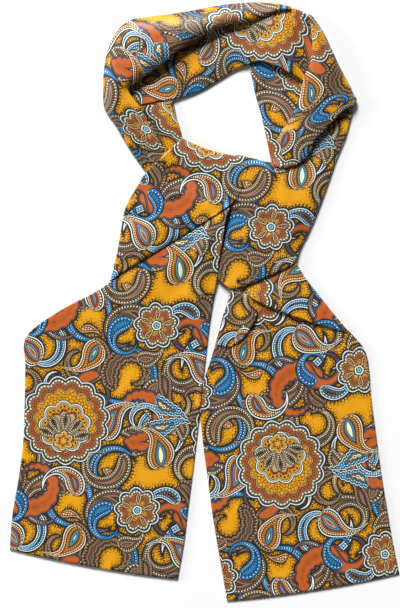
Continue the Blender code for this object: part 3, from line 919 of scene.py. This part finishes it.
def curl(silk, x, y, turn, size, style, outline, spine=CURLING, flip=1, lobes=0, lobe=0.045):
    """A motif that winds round a centre, such as a teardrop or a scroll."""
    form = (outline, spine, lobes, lobe)
    put(silk, curl_shape, form, x, y, turn, size, TWO_PI * CURL_RADIUS * size, style, flip)


def leaf(silk, x, y, turn, size, style, outline=LANCE, spine=S_BEND, flip=1, lobes=0, lobe=0.03):
    """A motif along a bent spine. Its foot is at x, y and its tip a size away."""
    put(silk, leaf_shape, (outline, spine, lobes, lobe), x, y, turn, size, size, style, flip)


def rosette(silk, x, y, size, style, petals, cut):
    """A round motif with a scalloped edge."""
    put(silk, rosette_shape, (petals, cut), x, y, 0, size, size * ROSETTE_RADIUS, style)


def dress(silk):
    """The colours of the print, from what covers each place."""
    tree = silk.tree
    depth = silk.depth
    along = add(tree, "VectorMath", (silk.cover, ALONG_X), out=1, operation="DOT_PRODUCT")
    style = add(tree, "VectorMath", (silk.cover, (0, 0, 1)), out=1, operation="DOT_PRODUCT")
    deep = add(tree, "Math", (depth, 1 / DEEPEST), operation="MULTIPLY")
    colour = None
    for name, bands in STYLES.items():
        stops = [(start / DEEPEST, linear(code)) for start, code in bands]
        bands_of = add(tree, "ValToRGB", (deep,), stops=stops)
        if colour is None:
            colour = bands_of
            continue
        here = add(tree, "Math", (style, number_of(name), SAME_STYLE), operation="COMPARE")
        colour = add(tree, "Mix", {0: here, 6: colour, 7: bands_of}, out=2, data_type="RGBA")
    # The rows of dots and dashes.
    share = add(tree, "Math", (style, 1 / SLOTS), operation="MULTIPLY")
    sizes, tints = [], []
    for name, (*measures, code) in DOTS.items():
        place = (number_of(name) - 0.5) / SLOTS
        sizes.append((place, [measure / DEEPEST for measure in measures]))
        tints.append((place, linear(code)))
    row = add(tree, "ValToRGB", (share,), stops=sizes)
    dash_depth = add(tree, "Math", (row.node.outputs[1], DEEPEST), operation="MULTIPLY")
    row = add(tree, "VectorMath", {0: row, "Scale": DEEPEST}, operation="SCALE")
    row_depth = add(tree, "SeparateXYZ", (row,))
    pitch, radius = row_depth.node.outputs[1], row_depth.node.outputs[2]
    tint = add(tree, "ValToRGB", (share,), stops=tints)
    half_pitch = add(tree, "Math", (pitch, 0.5), operation="MULTIPLY")
    step = add(tree, "Math", (along, pitch), operation="FLOORED_MODULO")
    dx = add(tree, "Math", (step, half_pitch), operation="SUBTRACT")
    dy = add(tree, "Math", (depth, row_depth), operation="SUBTRACT")
    off = add(tree, "CombineXYZ", (dx, dy))
    gap = add(tree, "VectorMath", (off,), out=1, operation="LENGTH")
    dot = add(tree, "Math", (gap, radius), operation="LESS_THAN")
    dash_x = add(tree, "Math", (step, half_pitch), operation="LESS_THAN")
    dash_y = add(tree, "Math", (depth, dash_depth, DASH_HALF), operation="COMPARE")
    dash = add(tree, "Math", (dash_x, dash_y), operation="MULTIPLY")
    colour = add(tree, "Mix", {0: dash, 6: colour, 7: linear(UMBER)}, out=2, data_type="RGBA")
    colour = add(tree, "Mix", {0: dot, 6: colour, 7: tint}, out=2, data_type="RGBA")
    # The ground, with a fringe of fine ticks round each motif and crackle that thins out from it.
    tick = add(tree, "Math", (along, TICK_PITCH), operation="FLOORED_MODULO")
    tick = add(tree, "Math", (tick, TICK_WIDTH), operation="LESS_THAN")
    rim = add(tree, "Math", (depth, -TICK_LENGTH), operation="GREATER_THAN")
    close = add(tree, "Math", (depth, -DARK_RIM), operation="GREATER_THAN")
    tick = add(tree, "Math", (tick, rim), operation="MULTIPLY")
    tick = add(tree, "Math", (tick, close), operation="MAXIMUM")
    crackle = {"Vector": silk.place, "Scale": 1 / (CRACKLE_CELL * MM)}
    cells = {"voronoi_dimensions": "2D", "feature": "DISTANCE_TO_EDGE"}
    crackle = add(tree, "TexVoronoi", crackle, **cells)
    reach = add(tree, "MapRange", (depth, CRACKLE_FAR, CRACKLE_NEAR, 0.0, CRACKLE_LINE))
    speck = add(tree, "Math", (crackle, reach), operation="LESS_THAN")
    brown = linear(CRACKLE_BROWN)
    ground = add(tree, "Mix", {0: speck, 6: linear(MUSTARD), 7: brown}, out=2, data_type="RGBA")
    ground = add(tree, "Mix", {0: tick, 6: ground, 7: linear(TICK_BROWN)}, out=2, data_type="RGBA")
    # Inside the medallions the ground is crackled all over.
    ring = add(tree, "Math", (style, number_of("ring"), SAME_STYLE), operation="COMPARE")
    core = add(tree, "Math", (depth, CORE_DEPTH), operation="GREATER_THAN")
    core = add(tree, "Math", (core, ring), operation="MULTIPLY")
    fine = add(tree, "Math", (crackle, CORE_LINE), operation="LESS_THAN")
    core = add(tree, "Math", (core, fine), operation="MULTIPLY")
    colour = add(tree, "Mix", {0: core, 6: colour, 7: brown}, out=2, data_type="RGBA")
    inside = add(tree, "Math", (depth, 0.0), operation="GREATER_THAN")
    return add(tree, "Mix", {0: inside, 6: ground, 7: colour}, out=2, data_type="RGBA")


def motifs(silk):
    """The motifs of one repeat, each over those before it."""
    for x, y, turn in ((150, 245, 20), (238, 100, 160), (115, 200, 80), (12, 250, 250), (60, 170, 10)):
        leaf(silk, x, y, turn, 34, "petal", PLUME, C_BEND)
    # blue swooshes
    curl(silk, 150, 150, 30, 62, "blue", SICKLE)
    curl(silk, 28, 170, 210, 56, "hook", SICKLE, flip=-1)
    curl(silk, 205, 70, 110, 50, "hook", SICKLE)
    curl(silk, 95, 225, -50, 54, "blue", SICKLE, WINDING, flip=-1)
    curl(silk, 150, 10, 200, 48, "blue", SICKLE)
    # brown scrolls
    curl(silk, 20, 22, 130, 46, "leaf", SCROLL)
    curl(silk, 132, 22, 40, 44, "leaf", SCROLL, flip=-1)
    curl(silk, 222, 118, -60, 46, "leaf", COMMA)
    curl(silk, 88, 162, 80, 44, "moss", SCROLL, flip=-1)
    curl(silk, 146, 205, 180, 44, "taupe", COMMA)
    curl(silk, 230, 165, 20, 40, "taupe", SCROLL, flip=-1)
    curl(silk, 60, 215, 200, 48, "taupe", COMMA, WINDING)
    curl(silk, 10, 120, 60, 34, "moss", COMMA)
    curl(silk, 240, 240, 100, 32, "moss", COMMA, flip=-1)
    leaf(silk, 176, 30, -20, 74, "leaf")
    leaf(silk, 150, 70, -100, 60, "taupe", flip=-1)
    leaf(silk, 200, 160, 200, 56, "moss", flip=-1)
    leaf(silk, 5, 60, 20, 60, "leaf")
    leaf(silk, 120, 240, 60, 52, "moss")
    # rust plumes with lobed edges
    curl(silk, 172, 92, 60, 54, "rust", PLUMED, lobes=19)
    curl(silk, 160, 148, -120, 44, "moss", PLUMED, flip=-1, lobes=15)
    curl(silk, 36, 244, 10, 52, "rust", PLUMED, lobes=17)
    curl(silk, 112, 118, 250, 38, "rust", SCROLL, WINDING)
    curl(silk, 236, 205, 150, 40, "rust", COMMA)
    # blue hooks beside them
    curl(silk, 182, 84, 80, 40, "hook", SICKLE)
    curl(silk, 60, 128, 20, 34, "hook", COMMA, flip=-1)
    curl(silk, 222, 226, 190, 32, "hook", COMMA)
    curl(silk, 150, 196, 250, 34, "blue", COMMA)
    curl(silk, 8, 205, 100, 30, "blue", COMMA, flip=-1)
    for turn in (-50, -8):
        leaf(silk, 8, 95, turn + 120, 58, "feather", PLUME, lobes=8)
    # teardrops
    leaf(silk, 128, 55, -30, 74, "paisley", BOTEH, HOOK)
    leaf(silk, 215, 20, 20, 70, "boteh", BOTEH, HOOK, flip=-1)
    leaf(silk, 30, 150, 50, 66, "paisley", BOTEH, HOOK, flip=-1)
    leaf(silk, 110, 190, 150, 62, "boteh", BOTEH, HOOK)
    curl(silk, 75, 240, 150, 38, "paisley", DROP, WINDING)
    leaf(silk, 165, 170, -70, 44, "leaf", BOTEH, HOOK, flip=-1)
    # medallions
    rosette(silk, 75, 75, 64, "ring", 15, 0.09)
    rosette(silk, 75, 66, 38, "lace", 9, 0.14)
    for turn in (-72, -36, 0, 36, 72):
        leaf(silk, 75, 48, turn, 38, "fan", PLUME, STRAIGHT)
    rosette(silk, 75, 46, 15, "flower", 6, 0.3)
    rosette(silk, 188, 220, 34, "ring", 9, 0.16)
    for turn in (0, 72, 144, 216, 288):
        leaf(silk, 188, 220, turn, 24, "petal", PLUME, STRAIGHT)
    rosette(silk, 188, 220, 8, "eye", 5, 0.1)


def silk_twill():
    """Printed silk twill: bright dyed colours, faint slanting ribs and a gentle sheen on the folds."""
    made = bpy.data.materials.new("silk_twill_printed")
    made.use_nodes = True
    tree = made.node_tree
    tree.nodes.clear()
    place = add(tree, "UVMap", uv_map="cloth")
    silk = Print(tree, place)
    motifs(silk)
    colour = dress(silk)
    # Twill ribs, drawn coarser than the real 0.3 mm, so that they show at all.
    ribs = {"Vector": place, "Scale": TWO_PI / (WAVE_RATE * RIB_PITCH * MM)}
    ribs = add(tree, "TexWave", ribs, out=1, bands_direction="DIAGONAL")
    relief = add(tree, "Bump", {"Strength": 0.25, "Distance": 0.05 * MM, "Height": ribs})
    finish = {"Base Color": colour, "Roughness": 0.5, "IOR": 1.46, "Sheen Weight": 0.02, "Normal": relief}
    shader = add(tree, "BsdfPrincipled", finish)
    add(tree, "OutputMaterial", {"Surface": shader}, out=None)
    return made


laid = []
silk = silk_twill()
for piece in PIECES:
    lay_piece(piece, laid, silk)

# ---- floor, light, camera

FLOOR_SIZE = 12.0
FLOOR_TOP = -0.0004
floor_mesh = bpy.data.meshes.new("floor")
signs = ((-1, -1), (1, -1), (1, 1), (-1, 1))
corners = [(FLOOR_SIZE * x, FLOOR_SIZE * y, FLOOR_TOP) for x, y in signs]
floor_mesh.from_pydata(corners, [], [(0, 1, 2, 3)])
new_object("floor", floor_mesh)
# Plain matt white paper, which gives the eye a pale ground with soft shadows.
paper = bpy.data.materials.new("white_paper")
paper.use_nodes = True
paper_finish = paper.node_tree.nodes["Principled BSDF"].inputs
paper_finish["Base Color"].default_value = (0.91, 0.91, 0.91, 1)
paper_finish["Roughness"].default_value = 0.9
floor_mesh.materials.append(paper)

# Round soft lamps that face the scarf: place, width and power. The key is far off beyond the back of the
# neck, for even light with soft shade on the near side of the folds. The low lamp at the left deepens the
# shade to their right.
LAMPS = [("key", (-5.2, 18.9, 12.8), 8.4, 9230), ("side", (-5.0, 0.6, 1.3), 1.6, 122)]
for name, place, size, power in LAMPS:
    light = bpy.data.lights.new(name, "AREA")
    light.shape = "DISK"
    light.size = size
    light.energy = power
    lamp = new_object(name, light)
    lamp.location = place
    lamp.rotation_euler = (-Vector(place)).to_track_quat("-Z", "Y").to_euler()
world = bpy.data.worlds.new("studio")
world.use_nodes = True
dome = world.node_tree
background = dome.nodes["Background"]
up = add(dome, "TexCoord", out=0)
up = add(dome, "VectorMath", (up, (0, 0, 1)), out=1, operation="DOT_PRODUCT")
# Dimmer overhead than low down, so that the hollows between folds are darker than their slopes.
dome_light = add(dome, "MapRange", (up, 0.1, 1.0, 0.18, 0.055))
dome.links.new(dome_light, background.inputs["Strength"])
background.inputs["Color"].default_value = (1, 1, 1, 1)
bpy.context.scene.world = world

# Straight above, at the photo's scale.
PIXEL = 1.4 * MM
PHOTO_HEIGHT = 608
VIEW_X, VIEW_Y = -5.2 * MM, -3.1 * MM
DISTANCE = 4.0
SENSOR = 36.0
camera_data = bpy.data.cameras.new("camera")
camera_data.sensor_fit = "VERTICAL"
camera_data.sensor_height = SENSOR
camera_data.lens = SENSOR * DISTANCE / (PHOTO_HEIGHT * PIXEL)
camera = new_object("camera", camera_data)
camera.location = (VIEW_X, VIEW_Y, DISTANCE)
bpy.context.scene.camera = camera
bpy.context.scene.view_settings.view_transform = "Standard"
